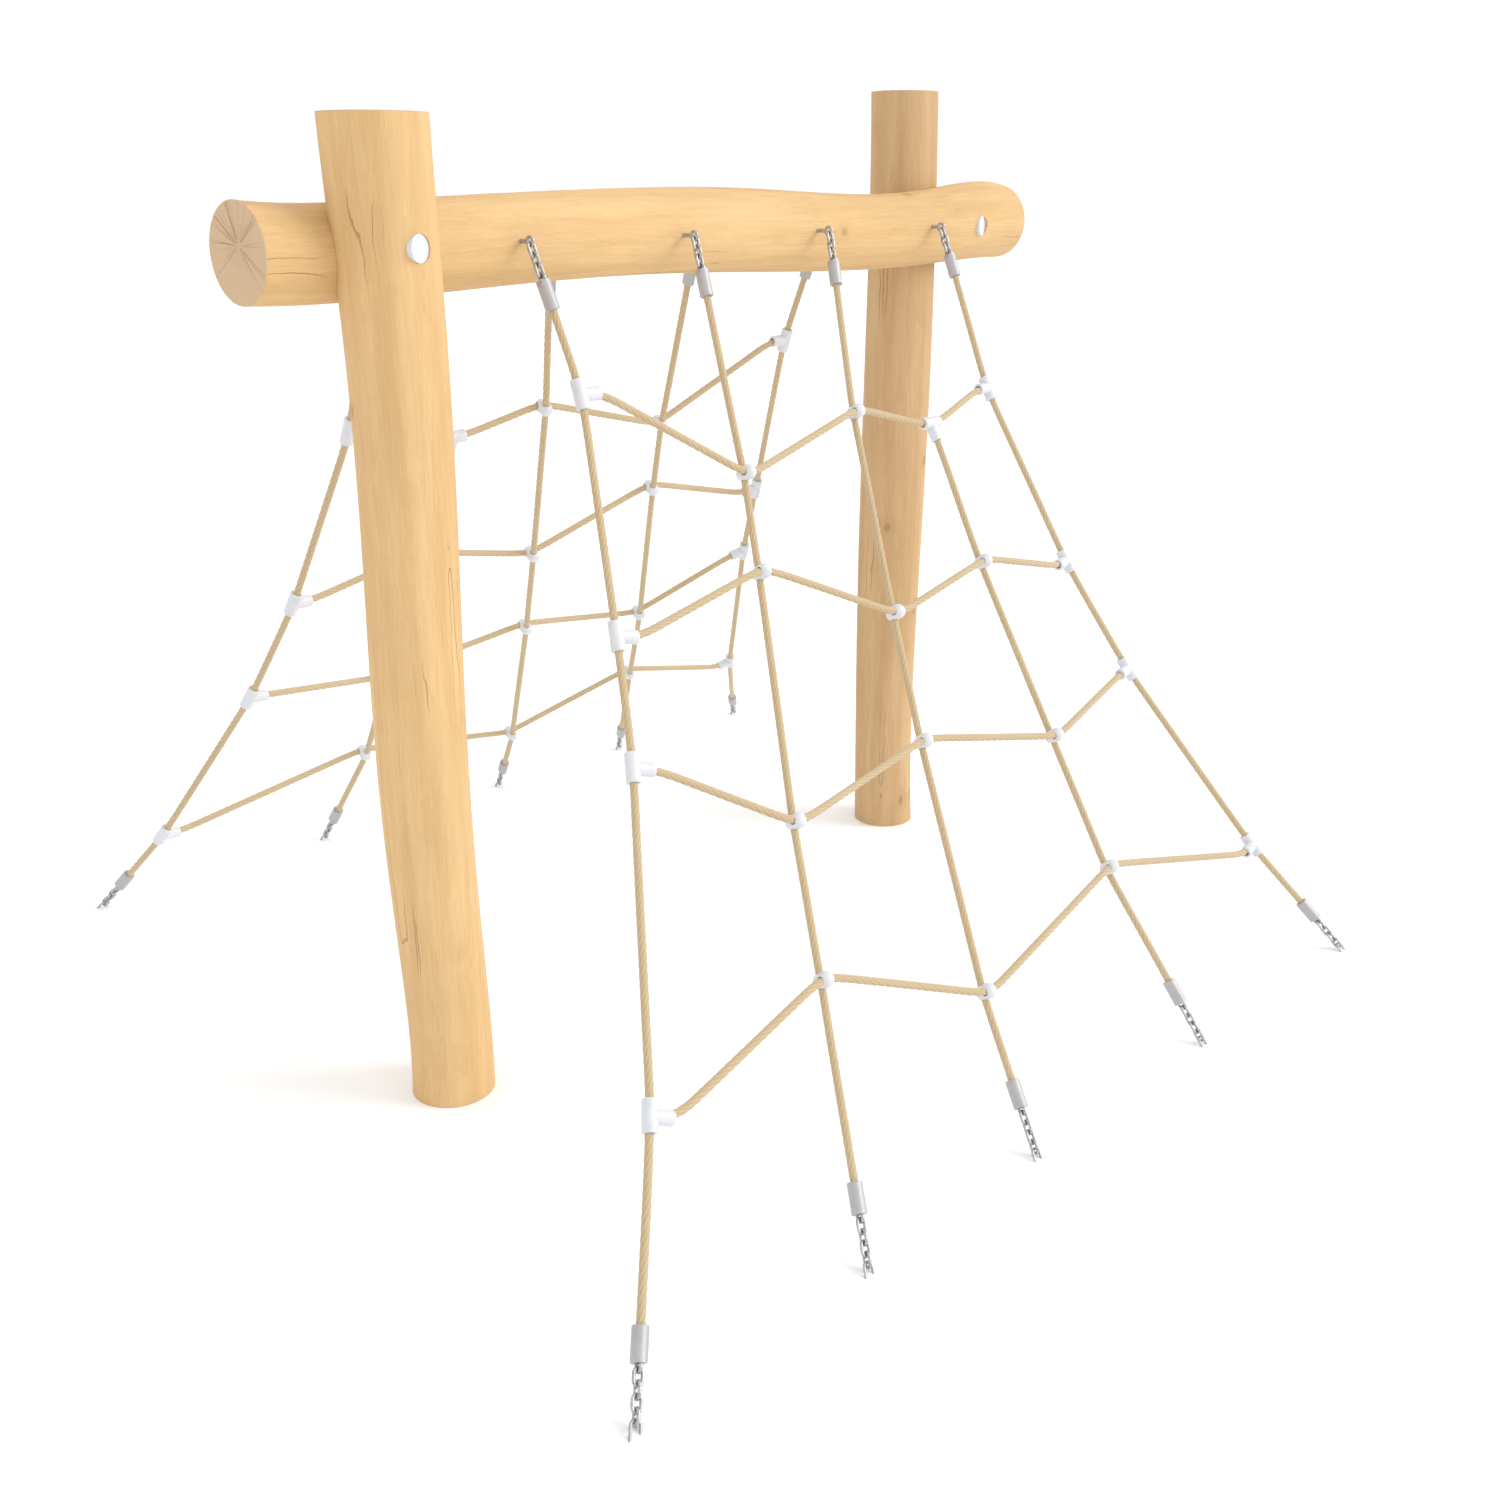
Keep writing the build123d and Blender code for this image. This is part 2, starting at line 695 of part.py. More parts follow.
def connector(rope, row, side):
    """A connector with the bores of the two ropes that it holds."""
    shape = tee_shape if has_tee(rope, row) else cross_shape
    stretches = [rope_stretch(rope, row), row_stretch(rope, row)]
    if rope == 5:
        stretches[1].reverse()
    bores = [bore(*turned(stretch, side)) for stretch in stretches]
    with BuildPart(mode=Mode.PRIVATE) as body:
        add(connector_place(rope, row, side).location * shape)
        add(bores, mode=Mode.SUBTRACT)
    return body.part


def add_chain(rope, side, last):
    """The links of one rope's chain, the last of them half inside the ferrule."""
    start, along = along_rope_end(rope, side, last)
    across = across_net(rope, side, along, last)
    count = bottom_chain_links if last else top_chain_links
    first = link_reach if last else top_chain_start
    if last:
        across = along.cross(across)
    with Locations(*chain_planes(start, along, across, first, count, link_step)):
        add(link_shape)


def ferrule_plane(rope, side, last):
    """A ferrule's plane: its chain end at 0, Z along the rope, its slot in line with the link inside it."""
    start, along = along_rope_end(rope, side, last)
    across = across_net(rope, side, along, last)
    distance = bottom_ferrule_start if last else top_ferrule_start
    return Plane(origin=start + along * distance, x_dir=across, z_dir=along)


for side_name, side in (("front", 1), ("back", -1)):
    with BuildPart() as top_chains:
        for rope in hanging_ropes:
            add_chain(rope, side, last=False)
    export(f"{side_name}_top_chains", top_chains.part)

    with BuildPart() as bottom_chains:
        for rope in rope_knots:
            add_chain(rope, side, last=True)
    export(f"{side_name}_bottom_chains", bottom_chains.part)

    with BuildPart() as top_ferrules:
        with Locations(*[ferrule_plane(rope, side, last=False) for rope in hanging_ropes]):
            add(ferrule_shape)
    export(f"{side_name}_top_ferrules", top_ferrules.part)

    with BuildPart() as bottom_ferrules:
        with Locations(*[ferrule_plane(rope, side, last=True) for rope in rope_knots]):
            add(ferrule_shape)
    export(f"{side_name}_bottom_ferrules", bottom_ferrules.part)

    flexible = []
    for rope in rope_knots:
        upper, flex, lower = split_path(turned(rope_path(rope), side))
        flexible += runs(flex, rope_radius)
        for half, points in (("upper", upper), ("lower", lower)):
            rope_runs = runs(points, rope_radius)
            with BuildPart() as rope_half:
                add(rope_runs)
            export(f"{side_name}_rope_{rope}_{half}", rope_half.part)

    with BuildPart() as rope_flex_zones:
        add(flexible)
    export(f"{side_name}_rope_flex_zones", rope_flex_zones.part)

    for row in (1, 2, 3, 4):
        row_runs = runs(turned(row_path(row), side), rope_radius)
        with BuildPart() as row_rope:
            add(row_runs)
        export(f"{side_name}_row_rope_{row}", row_rope.part)

    for half, rows in (("upper", (1, 2)), ("lower", (3, 4))):
        places = [(rope, row) for row in rows for rope in rope_knots]
        tee_bodies = [connector(rope, row, side) for rope, row in places if has_tee(rope, row)]
        cross_bodies = [connector(rope, row, side) for rope, row in places if not has_tee(rope, row)]
        with BuildPart() as tees:
            add(tee_bodies)
        export(f"{side_name}_{half}_t_connectors", tees.part)
        with BuildPart() as crosses:
            add(cross_bodies)
        export(f"{side_name}_{half}_cross_connectors", crosses.part)
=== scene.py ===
# %% [markdown]
# # A cargo climbing net
#
# This lesson dresses a playground climbing net: two peeled log posts, a log crossbeam, and two rope
# nets that slope down to staples in the ground. The solid parts come from a CAD model, the frame. They
# keep their shapes, and this script gives them their finishes, lays the ropes, and sets up a white
# studio round them.

# %% Load the frame
import json
import math

import bmesh
import bpy
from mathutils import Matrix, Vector

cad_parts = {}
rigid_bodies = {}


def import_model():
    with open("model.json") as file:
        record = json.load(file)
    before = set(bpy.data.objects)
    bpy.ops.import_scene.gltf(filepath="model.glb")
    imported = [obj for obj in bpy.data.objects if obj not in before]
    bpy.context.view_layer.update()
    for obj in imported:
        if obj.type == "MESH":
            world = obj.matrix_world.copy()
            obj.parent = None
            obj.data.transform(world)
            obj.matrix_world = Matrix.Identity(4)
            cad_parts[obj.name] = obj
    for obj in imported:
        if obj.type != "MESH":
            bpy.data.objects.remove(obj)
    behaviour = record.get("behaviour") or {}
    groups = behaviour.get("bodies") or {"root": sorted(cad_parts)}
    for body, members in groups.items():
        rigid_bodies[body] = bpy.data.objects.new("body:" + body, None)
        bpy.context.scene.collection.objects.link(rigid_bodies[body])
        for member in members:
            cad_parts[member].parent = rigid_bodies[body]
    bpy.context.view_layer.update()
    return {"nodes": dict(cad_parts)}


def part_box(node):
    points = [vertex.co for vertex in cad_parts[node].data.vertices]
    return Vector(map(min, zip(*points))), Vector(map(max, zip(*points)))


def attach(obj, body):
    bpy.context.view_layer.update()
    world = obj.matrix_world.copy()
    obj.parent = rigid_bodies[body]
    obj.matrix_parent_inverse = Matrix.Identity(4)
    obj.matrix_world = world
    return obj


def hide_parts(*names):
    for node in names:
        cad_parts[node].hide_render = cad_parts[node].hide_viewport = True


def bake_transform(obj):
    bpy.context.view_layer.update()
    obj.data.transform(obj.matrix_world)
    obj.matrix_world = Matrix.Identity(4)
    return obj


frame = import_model()

# %% [markdown]
# ## The camera
#
# The camera stands a little below the post tops and looks down across the front net. A 37 mm lens on a
# 36 mm sensor gives the strong perspective of a picture taken from close by.

# %% Camera
CAMERA_PLACE = (-2.915, -2.713, 2.000)
CAMERA_LOOKS = Vector((0.7080, 0.6167, -0.3441))
CAMERA_LENS = 37.14
CAMERA_SENSOR = 36.0
CAMERA_REACH = 100.0

camera_data = bpy.data.cameras.new("camera")
camera_data.lens = CAMERA_LENS
camera_data.sensor_width = CAMERA_SENSOR
camera_data.clip_end = CAMERA_REACH
camera = bpy.data.objects.new("camera", camera_data)
camera.location = CAMERA_PLACE
camera.rotation_euler = CAMERA_LOOKS.to_track_quat("-Z", "Y").to_euler()
bpy.context.scene.collection.objects.link(camera)
bpy.context.scene.camera = camera
print("camera at", CAMERA_PLACE, "with a", CAMERA_LENS, "mm lens")

# %% [markdown]
# ## Helpers for shader nodes
#
# A material is a graph of nodes. It could be wired by hand in the Shader Editor. In a script, a few small
# helpers keep such a graph readable: each adds one node with its settings and input values, and gives
# back the socket that the next node needs.

# %% Node helpers
def fill(tree, node, values):
    """Gives a node's inputs their numbers, colours or links, by name or by place."""
    for key, value in (values or {}).items():
        if isinstance(value, bpy.types.NodeSocket):
            tree.links.new(value, node.inputs[key])
        else:
            node.inputs[key].default_value = value


def add_node(tree, kind, values=None, **settings):
    """Adds a node with its settings first, because they decide which inputs it has."""
    node = tree.nodes.new(kind)
    for key, value in settings.items():
        setattr(node, key, value)
    fill(tree, node, values)
    return node


def do_math(tree, operation, first, second=0.0, clamp=False):
    """One Math node's result."""
    values = {0: first, 1: second}
    return add_node(tree, "ShaderNodeMath", values, operation=operation, use_clamp=clamp).outputs[0]


def vector_math(tree, operation, first, second=(0.0, 0.0, 0.0)):
    """One Vector Math node's result, which is a number for a length and a vector otherwise."""
    node = add_node(tree, "ShaderNodeVectorMath", {0: first, 1: second}, operation=operation)
    return node.outputs["Value" if operation == "LENGTH" else "Vector"]


def scaled(tree, vector, x, y, z):
    """The vector with each of its three parts scaled."""
    return vector_math(tree, "MULTIPLY", vector, (x, y, z))


print("helpers for one node each")

# %% [markdown]
# Masks and patterns come next. A fade turns a value into a mask with soft edges, a mix lays one colour
# over another through such a mask, and noise is the start of nearly every pattern here.

# %% Pattern helpers
def fade(tree, value, low, high):
    """0 below low, 1 above high, and smooth between. With low above high it runs the other way."""
    flip = low > high
    names = {"Value": value, "From Min": min(low, high), "From Max": max(low, high)}
    names["To Min"], names["To Max"] = (1.0, 0.0) if flip else (0.0, 1.0)
    return add_node(tree, "ShaderNodeMapRange", names, interpolation_type="SMOOTHSTEP").outputs[0]


def mix_colour(tree, share, first, second, way="MIX"):
    """Mixes two colours by a share from 0 to 1. A Mix node has its colour inputs at 6 and 7."""
    node = add_node(
        tree, "ShaderNodeMix", {0: share, 6: first, 7: second},
        data_type="RGBA", blend_type=way, clamp_factor=True,
    )
    return node.outputs[2]


def noise(tree, vector, scale, detail=3.0, rough=0.5):
    """A noise value from 0 to 1 at each place. It seldom leaves 0.3 to 0.7."""
    values = {"Vector": vector, "Scale": scale, "Detail": detail, "Roughness": rough}
    return add_node(tree, "ShaderNodeTexNoise", values).outputs["Fac"]


print("helpers for masks, mixes and noise")

# %% [markdown]
# An effect that several materials share is a node group: it is built once, with named sockets, and each
# material places it with its own values. The shader itself stays in the material.

# %% Groups and materials
FLOAT, COLOUR, VECTOR = "NodeSocketFloat", "NodeSocketColor", "NodeSocketVector"
BLANK = (1, 1, 1, 1)


def new_group(name, inputs, outputs):
    """A node group. Returns it with its input node's and output node's sockets."""
    group = bpy.data.node_groups.new(name, "ShaderNodeTree")
    for label, kind, value in inputs:
        socket = group.interface.new_socket(name=label, in_out="INPUT", socket_type=kind)
        if value is not None:
            socket.default_value = value
    for label, kind in outputs:
        group.interface.new_socket(name=label, in_out="OUTPUT", socket_type=kind)
    return group, group.nodes.new("NodeGroupInput").outputs, group.nodes.new("NodeGroupOutput").inputs


def use_group(tree, group, values):
    """Places a group in a material. Returns its outputs."""
    node = tree.nodes.new("ShaderNodeGroup")
    node.node_tree = group
    fill(tree, node, values)
    return node.outputs


def new_material(name, roughness, metallic=0.0):
    """An empty material. Returns it, its node tree and its Principled BSDF."""
    material = bpy.data.materials.new(name)
    material.use_nodes = True
    tree = material.node_tree
    shader = tree.nodes["Principled BSDF"]
    shader.inputs["Roughness"].default_value = roughness
    shader.inputs["Metallic"].default_value = metallic
    return material, tree, shader


def add_bump(tree, shader, height, distance):
    """Bends the shader's normals by a height. distance is what a height of 1 stands for, in metres."""
    bump = add_node(tree, "ShaderNodeBump", {"Height": height, "Distance": distance, "Strength": 1.0})
    tree.links.new(bump.outputs["Normal"], shader.inputs["Normal"])


print("helpers for groups and materials")

# %% [markdown]
# ## Peeled logs
#
# The timber is softwood that has been peeled and cut, not turned on a lathe. Its surface shows long
# fibres, wide pale and warm bands, a few knots, fine drying checks along the log, and shallow marks
# from the peeling knife. A picture of wood would have to be wrapped round the log and would show a
# seam, so the pattern is made in three dimensions: noise that is stretched along the log looks like
# fibre on its side. The group below gets coordinates with Z along the log, whichever way it lies.
#
# Knots come first, because the fibres bend round them. Each cell of a Voronoi pattern has one point,
# and the distance to it gives the dark core, the warm halo and the fine rings.

# %% The side of a log: knots
side_group, side_in, side_out = new_group(
    "log side",
    [("Vector", VECTOR, None), ("Pale", COLOUR, BLANK), ("Warm", COLOUR, BLANK), ("Knot", COLOUR, BLANK)],
    [("Color", COLOUR), ("Height", FLOAT), ("Dull", FLOAT)],
)
KNOT_CELLS = (5.8, 5.8, 4.35)  # per metre, across, across and along
KNOT_WANDER = (0.10, 0.10, 0.16)
KNOT_RINGS = 260.0
WANDER_SCALE = 16.0

place = side_in["Vector"]
knot_cells = scaled(side_group, place, *KNOT_CELLS)
wander = add_node(side_group, "ShaderNodeTexNoise", {"Vector": place, "Scale": WANDER_SCALE, "Detail": 3.0})
wander = vector_math(side_group, "SUBTRACT", wander.outputs["Color"], (0.5, 0.5, 0.5))
near_knot = vector_math(side_group, "ADD", knot_cells, scaled(side_group, wander, *KNOT_WANDER))
knots = add_node(side_group, "ShaderNodeTexVoronoi", {"Vector": near_knot, "Scale": 1.0}, feature="F1")
knot_distance = knots.outputs["Distance"]
knot_core = fade(side_group, knot_distance, 0.080, 0.048)
knot_halo = fade(side_group, knot_distance, 0.26, 0.06)
knot_rings = do_math(side_group, "SINE", do_math(side_group, "MULTIPLY", knot_distance, KNOT_RINGS))
print("knots,", len(side_group.nodes), "nodes so far")

# %% [markdown]
# Four stretched noises make the grain: fibres, hairs that only bump can show, broad bands, and flames.
# Flames are the long pointed figures of a peeled log. They appear where the knife has cut through
# growth rings at a small angle, so a wide noise is run through a sine to give its contour lines. A fifth
# noise, which isn't stretched, is kept for soft blotches.

# %% The side of a log: fibres and bands
FIBRES = (300.0, 300.0, 7.0)  # per metre, across, across and along, as for the rest
HAIRS = (900.0, 900.0, 30.0)
BANDS = (22.0, 22.0, 1.3)
FLAMES = (9.0, 9.0, 0.75)
FIBRE_WANDER = (0.012, 0.012, 0.0)
FLAME_LINES = 62.0  # how closely the contour lines follow each other
FLAMES_ROUND_KNOTS = 5.0
BLOTCHES = 3.1

fibre_place = vector_math(side_group, "ADD", place, scaled(side_group, wander, *FIBRE_WANDER))
fibres = noise(side_group, scaled(side_group, fibre_place, *FIBRES), 1.0, 5.0, 0.62)
hairs = noise(side_group, scaled(side_group, fibre_place, *HAIRS), 1.0, 3.0, 0.6)
bands = noise(side_group, scaled(side_group, fibre_place, *BANDS), 1.0, 4.0, 0.5)
flames = noise(side_group, scaled(side_group, fibre_place, *FLAMES), 1.0, 2.0, 0.45)
flames = do_math(side_group, "MULTIPLY", flames, FLAME_LINES)
flames = do_math(side_group, "ADD", flames, do_math(side_group, "MULTIPLY", knot_halo, FLAMES_ROUND_KNOTS))
flame_lines = fade(side_group, do_math(side_group, "SINE", flames), 0.35, 1.0)
blotches = noise(side_group, place, BLOTCHES, 2.0)
print("fibres and bands,", len(side_group.nodes), "nodes so far")

# %% [markdown]
# A drying check is a long hairline crack along the fibres. The place where a stretched noise passes
# through its middle value is such a line, and a second noise lets only some of them show.

# %% The side of a log: drying checks
CHECKS = (24.0, 24.0, 0.55)
CHECK_PATCHES = (7.0, 7.0, 2.4)

check_lines = noise(side_group, scaled(side_group, fibre_place, *CHECKS), 1.0, 1.0, 0.3)
check_lines = do_math(side_group, "ABSOLUTE", do_math(side_group, "SUBTRACT", check_lines, 0.5))
check_where = noise(side_group, scaled(side_group, place, *CHECK_PATCHES), 1.0, 2.0)
check_where = fade(side_group, check_where, 0.55, 0.66)
checks = do_math(side_group, "MULTIPLY", fade(side_group, check_lines, 0.0075, 0.0020), check_where)
print("checks,", len(side_group.nodes), "nodes so far")

# %% [markdown]
# The colour is built in layers, as a painter would: fibres and bands move it from pale to warm, then
# flames and knot halos warm it further, and knots and checks darken it. A last layer multiplies broad
# soft blotches over all of it, so that no two stretches of the log are equally light.

# %% The side of a log: colour
tone = do_math(
    side_group, "ADD",
    do_math(side_group, "MULTIPLY", fibres, 0.55), do_math(side_group, "MULTIPLY", bands, 0.75),
)
tone = fade(side_group, tone, 0.42, 0.88)
colour = mix_colour(side_group, tone, side_in["Pale"], side_in["Warm"])
knot_tone = do_math(side_group, "ADD", do_math(side_group, "MULTIPLY", knot_rings, 0.12), 0.42)
for mask, strength, layer in (
    (flame_lines, 0.22, side_in["Warm"]),
    (knot_halo, 0.45, side_in["Warm"]),
    (knot_core, knot_tone, side_in["Knot"]),
    (checks, 0.55, side_in["Knot"]),
):
    colour = mix_colour(side_group, do_math(side_group, "MULTIPLY", mask, strength), colour, layer)
shade = add_node(side_group, "ShaderNodeMapRange", {"Value": blotches, "To Min": 0.93, "To Max": 1.05})
shade = shade.outputs[0]
grey = add_node(side_group, "ShaderNodeCombineColor", {0: shade, 1: shade, 2: shade}).outputs[0]
colour = mix_colour(side_group, 1.0, colour, grey, "MULTIPLY")
print("colour,", len(side_group.nodes), "nodes so far")

# %% [markdown]
# The height adds the same masks with weights of their own: knife marks are the tallest, fibres and hairs
# are fine, knots stand proud, and flames and checks are cut in. Warm fibres are also a little duller.

# %% The side of a log: height and gloss
KNIFE = (26.0, 26.0, 9.0)

knife = noise(side_group, scaled(side_group, place, *KNIFE), 1.0, 2.0, 0.4)
height = do_math(side_group, "MULTIPLY", knife, 1.1)
for way, mask, weight in (
    ("ADD", fibres, 0.30), ("ADD", hairs, 0.10), ("SUBTRACT", flame_lines, 0.10),
    ("SUBTRACT", checks, 1.3), ("ADD", knot_core, 0.5),
):
    height = do_math(side_group, way, height, do_math(side_group, "MULTIPLY", mask, weight))
dull = do_math(side_group, "ADD", 0.60, do_math(side_group, "MULTIPLY", fibres, 0.16))
for label, socket in (("Color", colour), ("Height", height), ("Dull", dull)):
    side_group.links.new(socket, side_out[label])
print("log side group", len(side_group.nodes), "nodes")

# %% [markdown]
# A sawn end shows what the side hides: growth rings round the pith, a darker heart, and drying cracks
# that run out from the middle like spokes. Rings come from the distance to the pith, pushed about by a
# little noise. For the spokes, noise is read on the direction from the pith alone, so that it stays
# the same all the way out.

# %% The sawn end of a log: rings and spokes
end_group, end_in, end_out = new_group(
    "log end",
    [
        ("Vector", VECTOR, None), ("Shift", VECTOR, None), ("Pale", COLOUR, BLANK),
        ("Warm", COLOUR, BLANK), ("Crack", COLOUR, BLANK),
    ],
    [("Color", COLOUR), ("Height", FLOAT)],
)
RING_SPACING = 0.0033
RING_WOBBLE_SCALE, RING_WOBBLE = 17.0, 17.0
SPOKES_AROUND = 7.5

flat = scaled(end_group, end_in["Vector"], 1.0, 1.0, 0.0)
from_pith = vector_math(end_group, "LENGTH", flat)
pith_way = vector_math(end_group, "NORMALIZE", flat)
uneven = noise(end_group, flat, RING_WOBBLE_SCALE, 2.0)
ring_phase = do_math(end_group, "MULTIPLY", from_pith, 2 * math.pi / RING_SPACING)
ring_phase = do_math(end_group, "ADD", ring_phase, do_math(end_group, "MULTIPLY", uneven, RING_WOBBLE))
rings = fade(end_group, do_math(end_group, "SINE", ring_phase), -0.2, 1.0)

end_side = scaled(end_group, end_in["Vector"], 0.0, 0.0, 1.0)
end_shift = vector_math(end_group, "ADD", end_side, end_in["Shift"])
spoke_way = scaled(end_group, pith_way, SPOKES_AROUND, SPOKES_AROUND, 0.0)
spoke_place = vector_math(end_group, "ADD", spoke_way, end_shift)
spoke_line = do_math(end_group, "SUBTRACT", noise(end_group, spoke_place, 1.0, 4.0, 0.65), 0.5)
spoke_line = do_math(end_group, "ABSOLUTE", spoke_line)
wide = do_math(end_group, "MULTIPLY", fade(end_group, from_pith, 0.10, 0.02), 0.014)
spokes = do_math(end_group, "SUBTRACT", do_math(end_group, "ADD", wide, 0.003), spoke_line)
spokes = fade(end_group, spokes, 0.0, 0.004)
spoke_length = fade(end_group, noise(end_group, spoke_place, 0.5, 1.0), 0.42, 0.66)
spokes = do_math(end_group, "MULTIPLY", spokes, spoke_length)
spokes = do_math(end_group, "MULTIPLY", spokes, fade(end_group, from_pith, 0.004, 0.014))
print("rings and spokes,", len(end_group.nodes), "nodes so far")

# %% [markdown]
# The end's colour is layered in the same way as the side's: rings, heart, pores, and the dark spokes on
# top. Spokes are cut deep, and pores and rings are only just felt.

# %% The sawn end of a log: colour and height
PORES = 900.0

heart = fade(end_group, from_pith, 0.062, 0.020)
pores = noise(end_group, flat, PORES, 3.0, 0.7)
ends = end_in["Pale"]
for mask, strength, layer in (
    (rings, 0.42, "Warm"), (heart, 0.25, "Warm"),
    (fade(end_group, pores, 0.45, 0.75), 0.20, "Warm"), (spokes, 0.45, "Crack"),
):
    ends = mix_colour(end_group, do_math(end_group, "MULTIPLY", mask, strength), ends, end_in[layer])
end_height = do_math(end_group, "MULTIPLY", rings, 0.12)
for way, mask, weight in (("SUBTRACT", spokes, 0.9), ("ADD", pores, 0.25)):
    end_height = do_math(end_group, way, end_height, do_math(end_group, "MULTIPLY", mask, weight))
end_group.links.new(ends, end_out["Color"])
end_group.links.new(end_height, end_out["Height"])
print("log end group", len(end_group.nodes), "nodes")

# %% [markdown]
# Each log gets its own material from the two groups. A Mapping node moves the log's middle to zero and
# turns it so that Z runs along it. The distance from the middle then tells side from end.

# %% One material for each log
PALE_WOOD = (0.735, 0.495, 0.245, 1)
WARM_WOOD = (0.610, 0.385, 0.170, 1)
KNOT_WOOD = (0.300, 0.150, 0.060, 1)
END_PALE = (0.620, 0.445, 0.280, 1)
END_WARM = (0.490, 0.325, 0.190, 1)
END_CRACK = (0.330, 0.200, 0.110, 1)
END_STARTS, END_FULL = 0.0030, 0.0008  # metres before the sawn face
END_DULLER = 0.12
WOOD_DULL = 0.66
WOOD_SPECULAR = 0.32
WOOD_BUMP = 0.0011


def log_material(name, node, turn, shift, pale=PALE_WOOD, warm=WARM_WOOD):
    """Wood for one log. turn lays the log along Z, and shift moves the pattern to fresh wood."""
    low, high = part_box(node)
    middle = (Vector(low) + Vector(high)) / 2
    half = max(Vector(high) - Vector(low)) / 2
    material, tree, shader = new_material(name, WOOD_DULL)
    spot = add_node(tree, "ShaderNodeTexCoord").outputs["Object"]
    spot = vector_math(tree, "SUBTRACT", spot, middle)
    spot = add_node(tree, "ShaderNodeMapping", {"Vector": spot, "Rotation": turn}, vector_type="POINT")
    spot = spot.outputs[0]
    fresh = vector_math(tree, "ADD", spot, shift)
    side = use_group(tree, side_group, {"Vector": fresh, "Pale": pale, "Warm": warm, "Knot": KNOT_WOOD})
    ends = {"Pale": END_PALE, "Warm": END_WARM, "Crack": END_CRACK}
    end = use_group(tree, end_group, {"Vector": spot, "Shift": shift, **ends})
    along = add_node(tree, "ShaderNodeSeparateXYZ", {"Vector": spot}).outputs["Z"]
    along = do_math(tree, "ABSOLUTE", along)
    is_end = fade(tree, along, half - END_STARTS, half - END_FULL)
    colour = mix_colour(tree, is_end, side["Color"], end["Color"])
    tree.links.new(colour, shader.inputs["Base Color"])
    height = add_node(tree, "ShaderNodeMix", {0: is_end, 2: side["Height"], 3: end["Height"]}).outputs[0]
    dull = do_math(tree, "ADD", side["Dull"], do_math(tree, "MULTIPLY", is_end, END_DULLER))
    tree.links.new(dull, shader.inputs["Roughness"])
    shader.inputs["Specular IOR Level"].default_value = WOOD_SPECULAR
    add_bump(tree, shader, height, WOOD_BUMP)
    return material


print("a wood material with", len(side_group.nodes) + len(end_group.nodes), "nodes in its groups")

# %% [markdown]
# The right post is a little darker than the other two logs. Each log also starts at a
# different place in the pattern, or all three would have the same knots.

# %% Dress the three logs
DARKER_PALE = (0.610, 0.410, 0.220, 1)
DARKER_WARM = (0.500, 0.315, 0.150, 1)
UPRIGHT = (0.0, 0.0, 0.0)
LYING = (0.0, -math.pi / 2, 0.0)


def dress(node, material):
    """Gives a CAD node its finish, in each of its material slots."""
    slots = frame["nodes"][node].material_slots
    for slot in slots:
        slot.material = material
    if not slots:
        frame["nodes"][node].data.materials.append(material)


dress("left_post", log_material("left post wood", "left_post", UPRIGHT, (0.0, 0.0, 0.0)))
dress(
    "right_post",
    log_material("right post wood", "right_post", UPRIGHT, (3.1, 1.7, 0.4), DARKER_PALE, DARKER_WARM),
)
dress("crossbeam", log_material("crossbeam wood", "crossbeam", LYING, (-2.3, 4.1, 1.9)))
print("dressed left_post, right_post and crossbeam")

# %% [markdown]
# ## Metal and plastic
#
# The small parts are moulded white plastic, pressed aluminium and galvanised steel. None of them is
# perfectly even. One group gives them all their small unevenness: a broad drift in tone, fine specks,
# and a matching height. Each material then uses it at its own scale.

# %% Unevenness that the small parts share
speck_group, speck_in, speck_out = new_group(
    "fine unevenness",
    [("Vector", VECTOR, None), ("Broad", FLOAT, 20.0), ("Fine", FLOAT, 600.0)],
    [("Drift", FLOAT), ("Specks", FLOAT), ("Height", FLOAT)],
)
DRIFT_HEIGHT, SPECK_HEIGHT = 0.6, 0.4

drift = noise(speck_group, speck_in["Vector"], speck_in["Broad"], 3.0)
specks = noise(speck_group, speck_in["Vector"], speck_in["Fine"], 4.0)
speck_height = do_math(
    speck_group, "ADD",
    do_math(speck_group, "MULTIPLY", drift, DRIFT_HEIGHT),
    do_math(speck_group, "MULTIPLY", specks, SPECK_HEIGHT),
)
for label, socket in (("Drift", drift), ("Specks", specks), ("Height", speck_height)):
    speck_group.links.new(socket, speck_out[label])


def object_place(tree):
    """Coordinates on the piece itself, in metres."""
    return add_node(tree, "ShaderNodeTexCoord").outputs["Object"]


print("unevenness group", len(speck_group.nodes), "nodes")

# %% [markdown]
# The connectors and bolt caps are nylon, moulded white with a cool cast. Nylon lets a little light in,
# and its surface has a fine texture from the mould. Dust dulls it in soft patches.

# %% White plastic
WHITE = (0.660, 0.680, 0.720, 1)
WHITE_DUSTY = (0.580, 0.585, 0.600, 1)
DUST_MOST = 0.55
DUST_DULLS = 0.25
NYLON_GLOW = 0.08
NYLON_DEPTH = (0.004, 0.004, 0.005)
NYLON_BUMP = 0.00025


